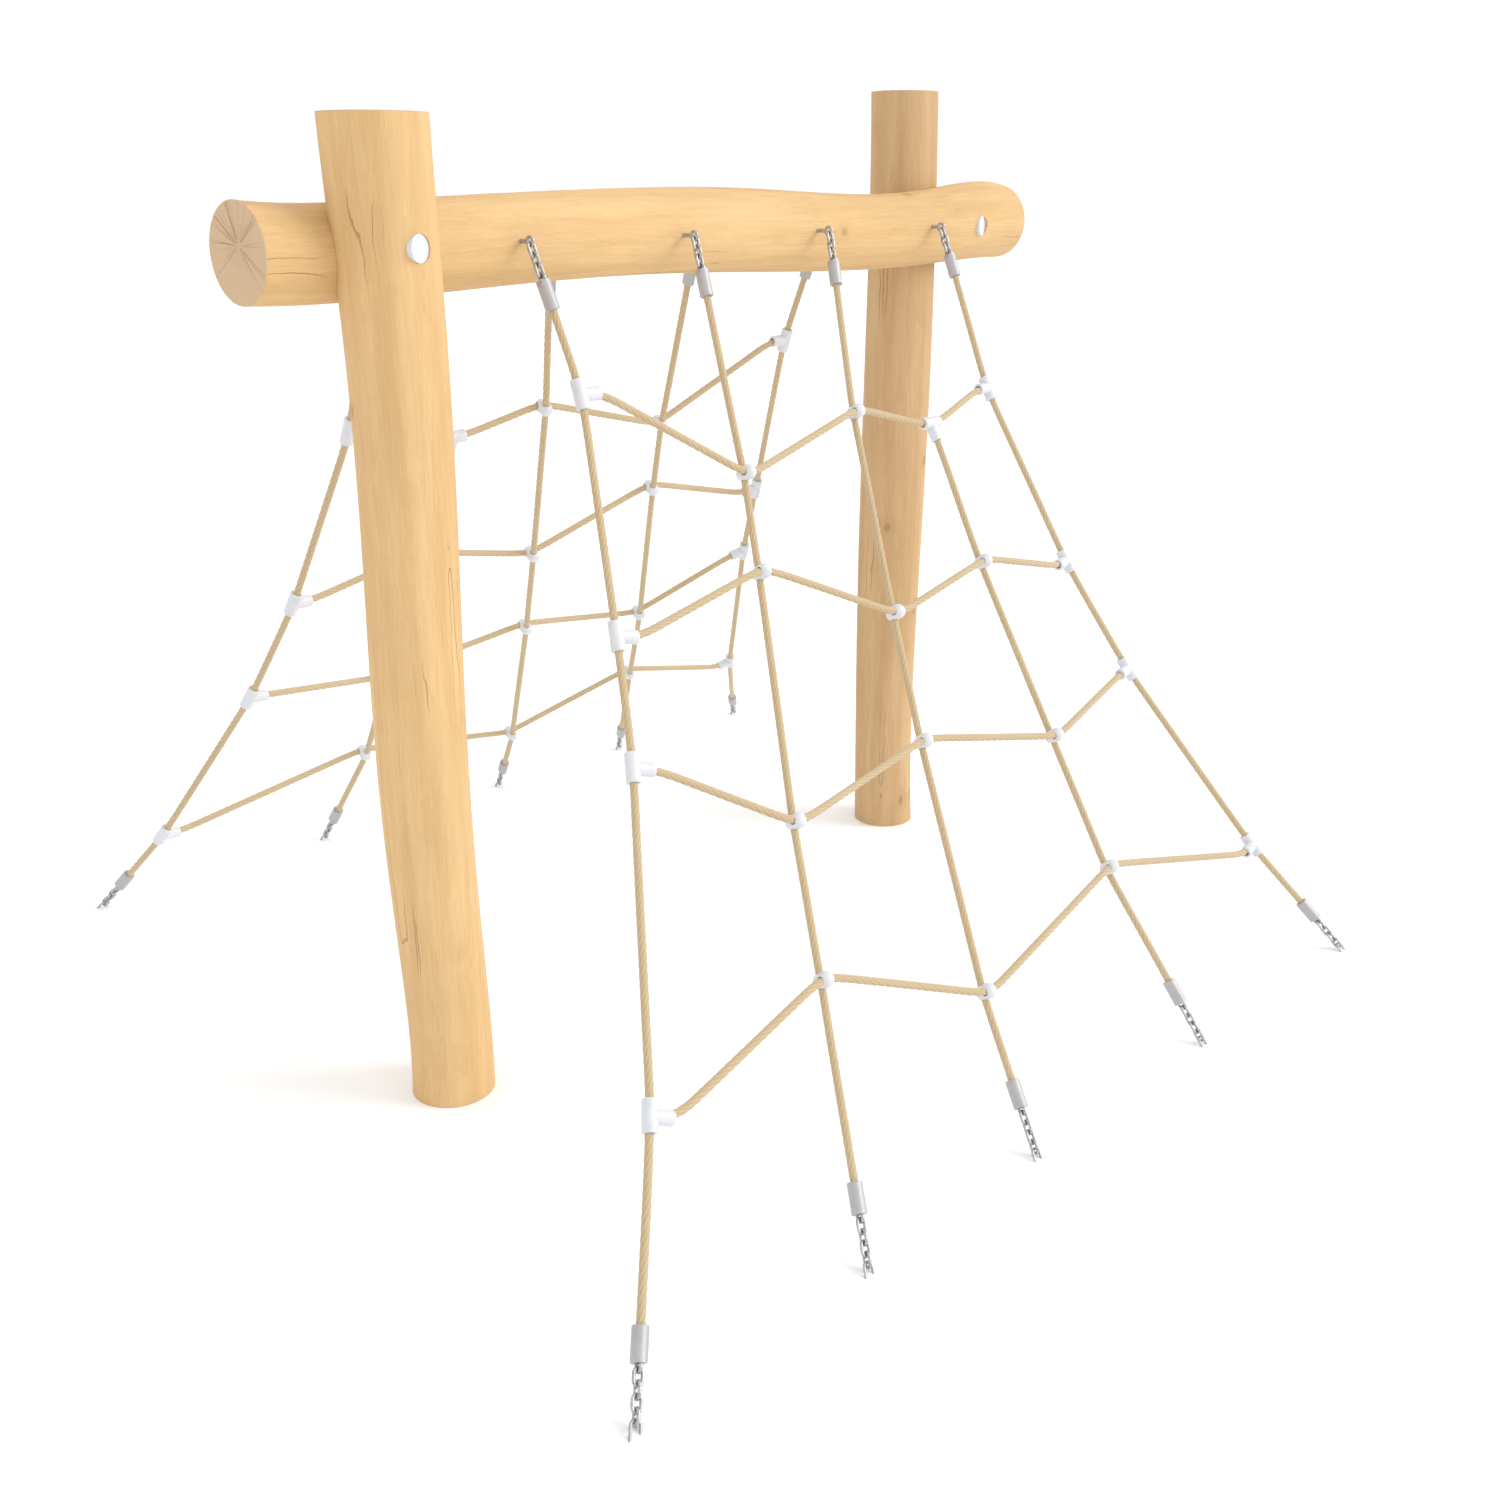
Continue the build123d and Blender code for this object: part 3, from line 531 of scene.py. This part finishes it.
def white_plastic(name, roughness):
    """Moulded nylon with a light coat of dust."""
    material, tree, shader = new_material(name, roughness)
    uneven = use_group(tree, speck_group, {"Vector": object_place(tree), "Broad": 34.0, "Fine": 1500.0})
    dust = do_math(tree, "MULTIPLY", fade(tree, uneven["Drift"], 0.50, 0.72), DUST_MOST)
    tree.links.new(mix_colour(tree, dust, WHITE, WHITE_DUSTY), shader.inputs["Base Color"])
    dull = do_math(tree, "ADD", roughness, do_math(tree, "MULTIPLY", dust, DUST_DULLS))
    tree.links.new(dull, shader.inputs["Roughness"])
    shader.inputs["Subsurface Weight"].default_value = NYLON_GLOW
    shader.inputs["Subsurface Radius"].default_value = NYLON_DEPTH
    shader.inputs["Subsurface Scale"].default_value = 1.0
    add_bump(tree, shader, uneven["Height"], NYLON_BUMP)
    return material


connector_white = white_plastic("connector white", 0.36)
cap_white = white_plastic("cap white", 0.30)
print("made", connector_white.name, "and", cap_white.name)

# %% [markdown]
# The ferrules are aluminium sleeves, pressed onto the rope and tumbled until they are a soft, even
# grey. Fine scratches cross them in every direction, and the broad drift keeps two of them from
# looking the same.

# %% Aluminium
ALUMINIUM_DARK = (0.400, 0.398, 0.400, 1)
ALUMINIUM_LIGHT = (0.540, 0.537, 0.540, 1)
ALUMINIUM_BUMP = 0.00018

material_aluminium, tree, shader = new_material("ferrule aluminium", 0.50, 0.55)
spot = object_place(tree)
uneven = use_group(tree, speck_group, {"Vector": spot, "Broad": 26.0, "Fine": 900.0})
scratch_a = noise(tree, scaled(tree, spot, 1600.0, 90.0, 90.0), 1.0, 2.0)
scratch_b = noise(tree, scaled(tree, spot, 90.0, 110.0, 1700.0), 1.0, 2.0)
scratches = fade(tree, do_math(tree, "MULTIPLY", scratch_a, scratch_b), 0.30, 0.42)
tone = do_math(tree, "MULTIPLY", uneven["Drift"], 0.7)
tone = do_math(tree, "ADD", tone, do_math(tree, "MULTIPLY", scratches, 0.25))
colour = mix_colour(tree, tone, ALUMINIUM_DARK, ALUMINIUM_LIGHT)
tree.links.new(colour, shader.inputs["Base Color"])
dull = do_math(tree, "ADD", 0.42, do_math(tree, "MULTIPLY", uneven["Specks"], 0.22))
tree.links.new(dull, shader.inputs["Roughness"])
height = do_math(tree, "SUBTRACT", uneven["Height"], do_math(tree, "MULTIPLY", scratches, 0.5))
add_bump(tree, shader, height, ALUMINIUM_BUMP)
print("made", material_aluminium.name)

# %% [markdown]
# Chains, eye screws and staples are dipped in molten zinc. Zinc freezes in flakes that each catch the
# light in their own way, and it leaves a slightly lumpy skin. Voronoi cells make the flakes.

# %% Galvanised steel
CHAIN_DARK, CHAIN_LIGHT = (0.260, 0.265, 0.270, 1), (0.620, 0.625, 0.635, 1)
SCREW_DARK, SCREW_LIGHT = (0.330, 0.330, 0.325, 1), (0.700, 0.700, 0.690, 1)
ZINC_BUMP = 0.00035


def galvanised(name, dark, light, flake, roughness):
    """Zinc with flake flakes to a metre, each between dark and light."""
    material, tree, shader = new_material(name, roughness, 1.0)
    spot = object_place(tree)
    cells = add_node(tree, "ShaderNodeTexVoronoi", {"Vector": spot, "Scale": flake}, feature="F1")
    flakes = add_node(tree, "ShaderNodeSeparateColor", {"Color": cells.outputs["Color"]}).outputs[0]
    uneven = use_group(tree, speck_group, {"Vector": spot, "Broad": 70.0, "Fine": 1400.0})
    tone = do_math(tree, "MULTIPLY", flakes, 0.45)
    tone = do_math(tree, "ADD", tone, do_math(tree, "MULTIPLY", uneven["Drift"], 0.60))
    tree.links.new(mix_colour(tree, tone, dark, light), shader.inputs["Base Color"])
    dull = do_math(tree, "ADD", roughness - 0.08, do_math(tree, "MULTIPLY", flakes, 0.18))
    tree.links.new(dull, shader.inputs["Roughness"])
    add_bump(tree, shader, uneven["Height"], ZINC_BUMP)
    return material


chain_zinc = galvanised("galvanised chain", CHAIN_DARK, CHAIN_LIGHT, 260.0, 0.40)
screw_zinc = galvanised("zinc plated screws", SCREW_DARK, SCREW_LIGHT, 420.0, 0.34)
print("made", chain_zinc.name, "and", screw_zinc.name)

# %% [markdown]
# The frame names each of its nodes after what it holds, so one word in a node's name is enough to choose
# its finish.

# %% Dress the small parts
FINISHES = {
    "connectors": connector_white,
    "caps": cap_white,
    "ferrules": material_aluminium,
    "chains": chain_zinc,
    "staples": chain_zinc,
    "eye_screws": chain_zinc,
    "post_bolt": screw_zinc,
}
dressed = 0
for node in frame["nodes"]:
    for word, finish in FINISHES.items():
        if word in node:
            dress(node, finish)
            dressed += 1
            break
print("dressed", dressed, "small nodes")

# %% [markdown]
# ## The ropes
#
# Playground rope has a steel core in each of its six strands, wrapped in polyester yarn, and the
# strands are laid round each other. It is 18 mm thick, and stretched tight between its fittings. Each
# route below goes straight through every connector and bends only at its mouths, with one more point
# about six diameters away on each long stretch. A smooth NURBS line takes those points.
#
# The section is a circle with six shallow grooves. It is turned evenly as it goes along the line, and
# that makes the strands wind round the rope.

# %% Routes of the front net
ROPE_DIAMETER = 0.018
ROUTES = {
    "rope_1": [
        (-0.638, -0.160, 1.788), (-0.625, -0.188, 1.698), (-0.613, -0.216, 1.608),
        (-0.617, -0.241, 1.542), (-0.642, -0.285, 1.446), (-0.700, -0.384, 1.231),
        (-0.725, -0.427, 1.135), (-0.745, -0.458, 1.075), (-0.780, -0.509, 0.986),
        (-0.816, -0.560, 0.898), (-0.844, -0.594, 0.842), (-0.894, -0.648, 0.763),
        (-1.087, -0.858, 0.454), (-1.136, -0.912, 0.374), (-1.174, -0.947, 0.326),
        (-1.238, -1.002, 0.258), (-1.337, -1.085, 0.154), (-1.402, -1.139, 0.087),
    ],
    "rope_2": [
        (-0.159, -0.169, 1.791), (-0.173, -0.210, 1.692), (-0.202, -0.296, 1.483),
        (-0.215, -0.337, 1.384), (-0.224, -0.354, 1.348), (-0.253, -0.399, 1.262),
        (-0.283, -0.444, 1.177), (-0.296, -0.463, 1.143), (-0.335, -0.515, 1.057),
        (-0.457, -0.676, 0.792), (-0.497, -0.728, 0.706), (-0.512, -0.749, 0.674),
        (-0.551, -0.806, 0.591), (-0.586, -0.856, 0.517), (-0.626, -0.913, 0.434),
        (-0.642, -0.936, 0.404), (-0.689, -0.996, 0.328), (-0.785, -1.122, 0.172),
        (-0.832, -1.183, 0.096),
    ],
    "rope_3": [
        (0.331, -0.170, 1.794), (0.303, -0.211, 1.698), (0.265, -0.267, 1.569), (0.236, -0.309, 1.473),
        (0.225, -0.327, 1.438), (0.195, -0.378, 1.348), (0.117, -0.507, 1.117), (0.087, -0.558, 1.027),
        (0.074, -0.578, 0.993), (0.040, -0.633, 0.907), (0.017, -0.671, 0.847), (-0.018, -0.726, 0.761),
        (-0.031, -0.748, 0.728), (-0.066, -0.807, 0.645), (-0.182, -1.001, 0.373),
        (-0.218, -1.060, 0.290), (-0.231, -1.083, 0.259), (-0.266, -1.153, 0.178),
        (-0.302, -1.223, 0.098),
    ],
    "rope_4": [
        (0.485, -0.385, 1.397), (0.483, -0.405, 1.363), (0.476, -0.458, 1.269), (0.469, -0.506, 1.181),
        (0.462, -0.559, 1.087), (0.459, -0.580, 1.053), (0.449, -0.640, 0.963), (0.428, -0.768, 0.771),
        (0.418, -0.828, 0.681), (0.413, -0.851, 0.648), (0.398, -0.914, 0.561), (0.383, -0.975, 0.477),
        (0.368, -1.037, 0.390), (0.364, -1.062, 0.358), (0.358, -1.132, 0.276), (0.352, -1.210, 0.185),
        (0.346, -1.279, 0.103),
    ],
    "rope_5": [
        (0.850, -0.175, 1.793), (0.839, -0.223, 1.697), (0.827, -0.274, 1.593), (0.816, -0.321, 1.496),
        (0.814, -0.355, 1.434), (0.818, -0.411, 1.342), (0.828, -0.535, 1.137), (0.833, -0.590, 1.045),
        (0.837, -0.629, 0.985), (0.848, -0.690, 0.897), (0.854, -0.722, 0.851), (0.865, -0.784, 0.763),
        (0.875, -0.826, 0.707), (0.894, -0.892, 0.624), (0.949, -1.083, 0.384), (0.968, -1.150, 0.301),
        (0.982, -1.195, 0.249), (1.007, -1.267, 0.173), (1.032, -1.340, 0.096),
    ],
    "row_rope_1": [
        (-0.600, -0.230, 1.575), (-0.561, -0.235, 1.574), (-0.474, -0.269, 1.520),
        (-0.328, -0.326, 1.431), (-0.241, -0.360, 1.377), (-0.200, -0.365, 1.371),
        (-0.095, -0.357, 1.395), (0.104, -0.341, 1.440), (0.209, -0.333, 1.464), (0.250, -0.336, 1.464),
        (0.350, -0.356, 1.437), (0.450, -0.376, 1.410), (0.520, -0.379, 1.410), (0.641, -0.359, 1.438),
        (0.761, -0.339, 1.467), (0.800, -0.338, 1.466),
    ],
    "row_rope_2": [
        (-0.721, -0.446, 1.102), (-0.683, -0.455, 1.094), (-0.577, -0.458, 1.116),
        (-0.416, -0.463, 1.150), (-0.311, -0.467, 1.172), (-0.271, -0.473, 1.167),
        (-0.176, -0.504, 1.126), (-0.036, -0.550, 1.064), (0.059, -0.581, 1.022),
        (0.100, -0.587, 1.018), (0.206, -0.586, 1.037), (0.333, -0.585, 1.061), (0.439, -0.584, 1.080),
        (0.480, -0.586, 1.080), (0.585, -0.595, 1.056), (0.676, -0.603, 1.036), (0.781, -0.612, 1.012),
        (0.820, -0.610, 1.014),
    ],
    "row_rope_3": [
        (-0.816, -0.582, 0.866), (-0.780, -0.594, 0.856), (-0.698, -0.644, 0.807),
        (-0.608, -0.699, 0.753), (-0.526, -0.749, 0.704), (-0.486, -0.758, 0.697),
        (-0.379, -0.756, 0.711), (-0.153, -0.752, 0.742), (-0.046, -0.750, 0.756),
        (-0.005, -0.754, 0.755), (0.098, -0.780, 0.734), (0.291, -0.828, 0.696), (0.394, -0.853, 0.676),
        (0.435, -0.856, 0.675), (0.541, -0.843, 0.690), (0.710, -0.822, 0.714), (0.816, -0.809, 0.729),
        (0.855, -0.806, 0.733),
    ],
    "row_rope_4": [
        (-1.142, -0.936, 0.345), (-1.109, -0.951, 0.331), (-1.004, -0.948, 0.354),
        (-0.761, -0.939, 0.409), (-0.656, -0.936, 0.433), (-0.616, -0.943, 0.429),
        (-0.521, -0.979, 0.393), (-0.341, -1.047, 0.324), (-0.246, -1.083, 0.287),
        (-0.205, -1.089, 0.284), (-0.099, -1.084, 0.304), (0.238, -1.068, 0.366),
        (0.344, -1.063, 0.386), (0.385, -1.066, 0.386), (0.488, -1.088, 0.363), (0.818, -1.157, 0.289),
        (0.922, -1.178, 0.266), (0.960, -1.174, 0.272),
    ],
}
print(len(ROUTES), "routes of", sum(len(route) for route in ROUTES.values()), "points")

# %% [markdown]
# The line is read back from Blender as a mesh of points, because those lie on the smooth curve and not
# on the route's corners. Spaced evenly, they become a second curve with the grooved section as its
# bevel, and each point's tilt turns that section.

# %% From a route to the points of its smooth line
ROPE_STEP = 0.008  # between two sections
LINE_FINENESS = 24  # points of the read line to each point of the route


def smooth_line(name, route):
    """Points on the route's NURBS line, evenly spaced along it."""
    curve = bpy.data.curves.new(name + "_line", "CURVE")
    curve.dimensions = "3D"
    curve.resolution_u = LINE_FINENESS
    spline = curve.splines.new("NURBS")
    spline.points.add(len(route) - 1)
    for point, at in zip(spline.points, route):
        point.co = (*at, 1.0)
    spline.order_u = 3
    spline.use_endpoint_u = True
    carrier = bpy.data.objects.new(name + "_line", curve)
    read = bpy.data.meshes.new_from_object(carrier)
    dense = [vertex.co.copy() for vertex in read.vertices]
    for data in (carrier, curve, read):
        bpy.data.batch_remove([data])
    total = sum((b - a).length for a, b in zip(dense, dense[1:]))
    count = round(total / ROPE_STEP)
    line, walked, place = [dense[0]], 0.0, 0
    for number in range(1, count):
        wanted = total * number / count
        while walked + (dense[place + 1] - dense[place]).length < wanted:
            walked += (dense[place + 1] - dense[place]).length
            place += 1
        step = dense[place + 1] - dense[place]
        line.append(dense[place] + step * ((wanted - walked) / step.length))
    return line + [dense[-1]], total


print("a section every", ROPE_STEP, "m along each rope")

# %% [markdown]
# The section has 36 points, six to a strand. Its outer radius is the rope's, and the grooves between
# strands are just under a millimetre deep.

# %% The rope's section
STRANDS = 6
SECTION_POINTS = 36
GROOVE = 0.0009
LAY_LENGTH = 0.125  # one full turn of a strand


def section_radius(number):
    """The section's radius at one of its points."""
    phase = 2 * math.pi * STRANDS * number / SECTION_POINTS
    return ROPE_DIAMETER / 2 - GROOVE * (1 - math.cos(phase)) / 2


section_curve = bpy.data.curves.new("rope_section", "CURVE")
section_spline = section_curve.splines.new("POLY")
section_spline.points.add(SECTION_POINTS - 1)
for number, point in enumerate(section_spline.points):
    angle = 2 * math.pi * number / SECTION_POINTS
    radius = section_radius(number)
    point.co = (radius * math.cos(angle), radius * math.sin(angle), 0, 1)
section_spline.use_cyclic_u = True
section = bpy.data.objects.new("rope_section", section_curve)
print("section of", SECTION_POINTS, "points,", STRANDS, "strands")

# %% [markdown]
# Blender sweeps the section along the line when it makes a mesh of the curve. The mesh has its rings of
# points in order, so each point can be told where it is round and along the rope. That is kept as an
# attribute for the material. Merging the doubles closes the two ends.

# %% Lay one rope
def lay_rope(name, route):
    """A mesh rope along a route, with its strands wound round it. Returns it and its line."""
    line, total = smooth_line(name, route)
    curve = bpy.data.curves.new(name, "CURVE")
    curve.dimensions = "3D"
    curve.twist_mode = "MINIMUM"
    curve.bevel_mode = "OBJECT"
    curve.bevel_object = section
    curve.use_fill_caps = True
    spline = curve.splines.new("POLY")
    spline.points.add(len(line) - 1)
    for number, (point, at) in enumerate(zip(spline.points, line)):
        point.co = (*at, 1.0)
        point.tilt = 2 * math.pi * total * number / (len(line) - 1) / LAY_LENGTH
    carrier = bpy.data.objects.new(name + "_carrier", curve)
    bpy.context.scene.collection.objects.link(carrier)
    graph = bpy.context.evaluated_depsgraph_get()
    mesh = bpy.data.meshes.new_from_object(carrier.evaluated_get(graph), depsgraph=graph)
    mesh.name = name
    bpy.data.batch_remove([carrier, curve])
    sections = len(line)
    lay = mesh.attributes.new("lay", "FLOAT_VECTOR", "POINT")
    for index in range(sections * SECTION_POINTS):
        angle = 2 * math.pi * (index % SECTION_POINTS) / SECTION_POINTS
        along = total * (index // SECTION_POINTS) / (sections - 1)
        lay.data[index].vector = (math.cos(angle), math.sin(angle), along)
    body = bmesh.new()
    body.from_mesh(mesh)
    bmesh.ops.remove_doubles(body, verts=body.verts, dist=1e-6)
    bmesh.ops.recalc_face_normals(body, faces=body.faces)
    for face in body.faces:
        face.smooth = len(face.verts) == 4
    body.to_mesh(mesh)
    body.free()
    rope = bpy.data.objects.new(name, mesh)
    bpy.context.scene.collection.objects.link(rope)
    return rope, line


print("one strand turns once in", LAY_LENGTH, "m")

# %% [markdown]
# The yarn is matt beige polyester. The grooves are darkened with painted shade, the crowns are made a
# little paler with a painted highlight, and single yarns run along each strand. The rope's own attribute
# says where a point is round and along the rope, in the turning section, so noise that is stretched along
# it follows the strands.

# %% Rope material
# the groove colour is painted shade; the rubbed colour is the pale yarn of wear and loose yarns, and also
# the painted highlight on the crowns
YARN = (0.540, 0.410, 0.240, 1)
YARN_RUBBED_AND_LIT = (0.620, 0.500, 0.330, 1)
YARN_GROOVE_SHADE = (0.360, 0.260, 0.145, 1)
YARN_BUMP = 0.00055

rope_material, tree, shader = new_material("beige rope yarn", 0.85)
lay = add_node(tree, "ShaderNodeAttribute", attribute_name="lay").outputs["Vector"]
parts = add_node(tree, "ShaderNodeSeparateXYZ", {"Vector": lay}).outputs
angle = do_math(tree, "ARCTAN2", parts["Y"], parts["X"])
strand_wave = do_math(tree, "COSINE", do_math(tree, "MULTIPLY", angle, float(STRANDS)))
# the strand wave marks the grooves for painted shade and the crowns for a painted highlight
groove_shade = fade(tree, strand_wave, -0.35, -1.0)
lit_crown = fade(tree, strand_wave, 0.2, 1.0)
yarns = noise(tree, scaled(tree, lay, 26.0, 26.0, 34.0), 1.0, 4.0, 0.6)
fuzz = noise(tree, object_place(tree), 1500.0, 3.0, 0.7)
wear = noise(tree, object_place(tree), 9.0, 3.0)
# crowns painted paler: a painted highlight
crown_highlight = do_math(tree, "ADD", 0.45, do_math(tree, "MULTIPLY", lit_crown, 0.35))
tone = do_math(tree, "MULTIPLY", fade(tree, yarns, 0.35, 0.70), crown_highlight)
tone = do_math(tree, "ADD", tone, do_math(tree, "MULTIPLY", fade(tree, wear, 0.45, 0.70), 0.25), clamp=True)
colour = mix_colour(tree, tone, YARN, YARN_RUBBED_AND_LIT)
# grooves painted darker: painted shade
colour = mix_colour(tree, do_math(tree, "MULTIPLY", groove_shade, 0.40), colour, YARN_GROOVE_SHADE)
loose_yarn = do_math(tree, "MULTIPLY", fade(tree, fuzz, 0.55, 0.80), 0.25)
colour = mix_colour(tree, loose_yarn, colour, YARN_RUBBED_AND_LIT)
tree.links.new(colour, shader.inputs["Base Color"])
shader.inputs["Sheen Weight"].default_value = 0.25
shader.inputs["Sheen Roughness"].default_value = 0.5
shader.inputs["Specular IOR Level"].default_value = 0.25
height = do_math(tree, "ADD", do_math(tree, "MULTIPLY", yarns, 0.7), do_math(tree, "MULTIPLY", fuzz, 0.35))
add_bump(tree, shader, height, YARN_BUMP)
print("made", rope_material.name, "with", len(tree.nodes), "nodes")

# %% [markdown]
# Both nets are the same net: the back one is the front one after half a turn about the upright axis.
# The hanging ropes cross the height at which a net folds when someone climbs on it; each is laid here
# as one still mesh that belongs to neither half. The row ropes stay in one half each.

# %% Lay all the ropes
UPPER_ROWS = ("row_rope_1", "row_rope_2")
cords = []
for side, turn in (("front", 1), ("back", -1)):
    for label, route in ROUTES.items():
        turned = [(turn * x, turn * y, z) for x, y, z in route]
        rope, line = lay_rope(f"{side}_{label}_strands", turned)
        rope.data.materials.append(rope_material)
        if label.startswith("row"):
            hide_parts(f"{side}_{label}")
            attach(rope, f"{side}_net_upper" if label in UPPER_ROWS else f"{side}_net_lower")
        else:
            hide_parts(f"{side}_{label}_upper", f"{side}_{label}_lower", f"{side}_rope_flex_zones")
            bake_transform(rope)
        cords.append(rope)
bpy.data.batch_remove([section, section_curve])
print(len(cords), "ropes,", sum(len(rope.data.polygons) for rope in cords), "faces")

# %% [markdown]
# ## The studio
#
# The net stands as if on a sheet of white paper: a pale floor that is wide enough to reach the sky's
# white without a horizon. A grid of a single square is the simplest sheet there is.

# %% Floor
FLOOR_HALF = 40.0
FLOOR_WHITE = (0.97, 0.97, 0.97, 1)
FLOOR_SPECULAR = 0.1

floor_mesh = bpy.data.meshes.new("floor")
sheet = bmesh.new()
bmesh.ops.create_grid(sheet, x_segments=1, y_segments=1, size=FLOOR_HALF)
sheet.to_mesh(floor_mesh)
sheet.free()
floor = bpy.data.objects.new("floor", floor_mesh)
bpy.context.scene.collection.objects.link(floor)
floor_material, tree, shader = new_material("white floor", 0.9)
shader.inputs["Base Color"].default_value = FLOOR_WHITE
shader.inputs["Specular IOR Level"].default_value = FLOOR_SPECULAR
floor.data.materials.append(floor_material)
print("floor", 2 * FLOOR_HALF, "m across")

# %% [markdown]
# A bright even sky fills every shadow, and one soft sun gives the round parts their shape. The sun's
# angle is how wide it looks in the sky: at 28 degrees a shadow's edge is half as wide as the shadow is
# far from what casts it. The Standard view transform shows the colours as they are, where the usual one
# would turn white paper grey.

# %% Sky and sun
SKY_STRENGTH = 1.04
SUN_FROM = (0.60, -0.75, 0.55)
SUN_STRENGTH = 1.45
SUN_WIDTH = math.radians(28)
SUN_COLOUR = (1.0, 0.985, 0.96)

bpy.context.scene.view_settings.view_transform = "Standard"
world = bpy.data.worlds.new("sky")
bpy.context.scene.world = world
world.use_nodes = True
sky = world.node_tree.nodes["Background"]
sky.inputs["Color"].default_value = (1.0, 1.0, 1.0, 1)
sky.inputs["Strength"].default_value = SKY_STRENGTH

sun_data = bpy.data.lights.new("soft sun", "SUN")
sun_data.energy = SUN_STRENGTH
sun_data.angle = SUN_WIDTH
sun_data.color = SUN_COLOUR
sun = bpy.data.objects.new("soft sun", sun_data)
sun.rotation_euler = Vector(SUN_FROM).to_track_quat("Z", "Y").to_euler()
bpy.context.scene.collection.objects.link(sun)
print("sky", world.name, "and", sun.name)
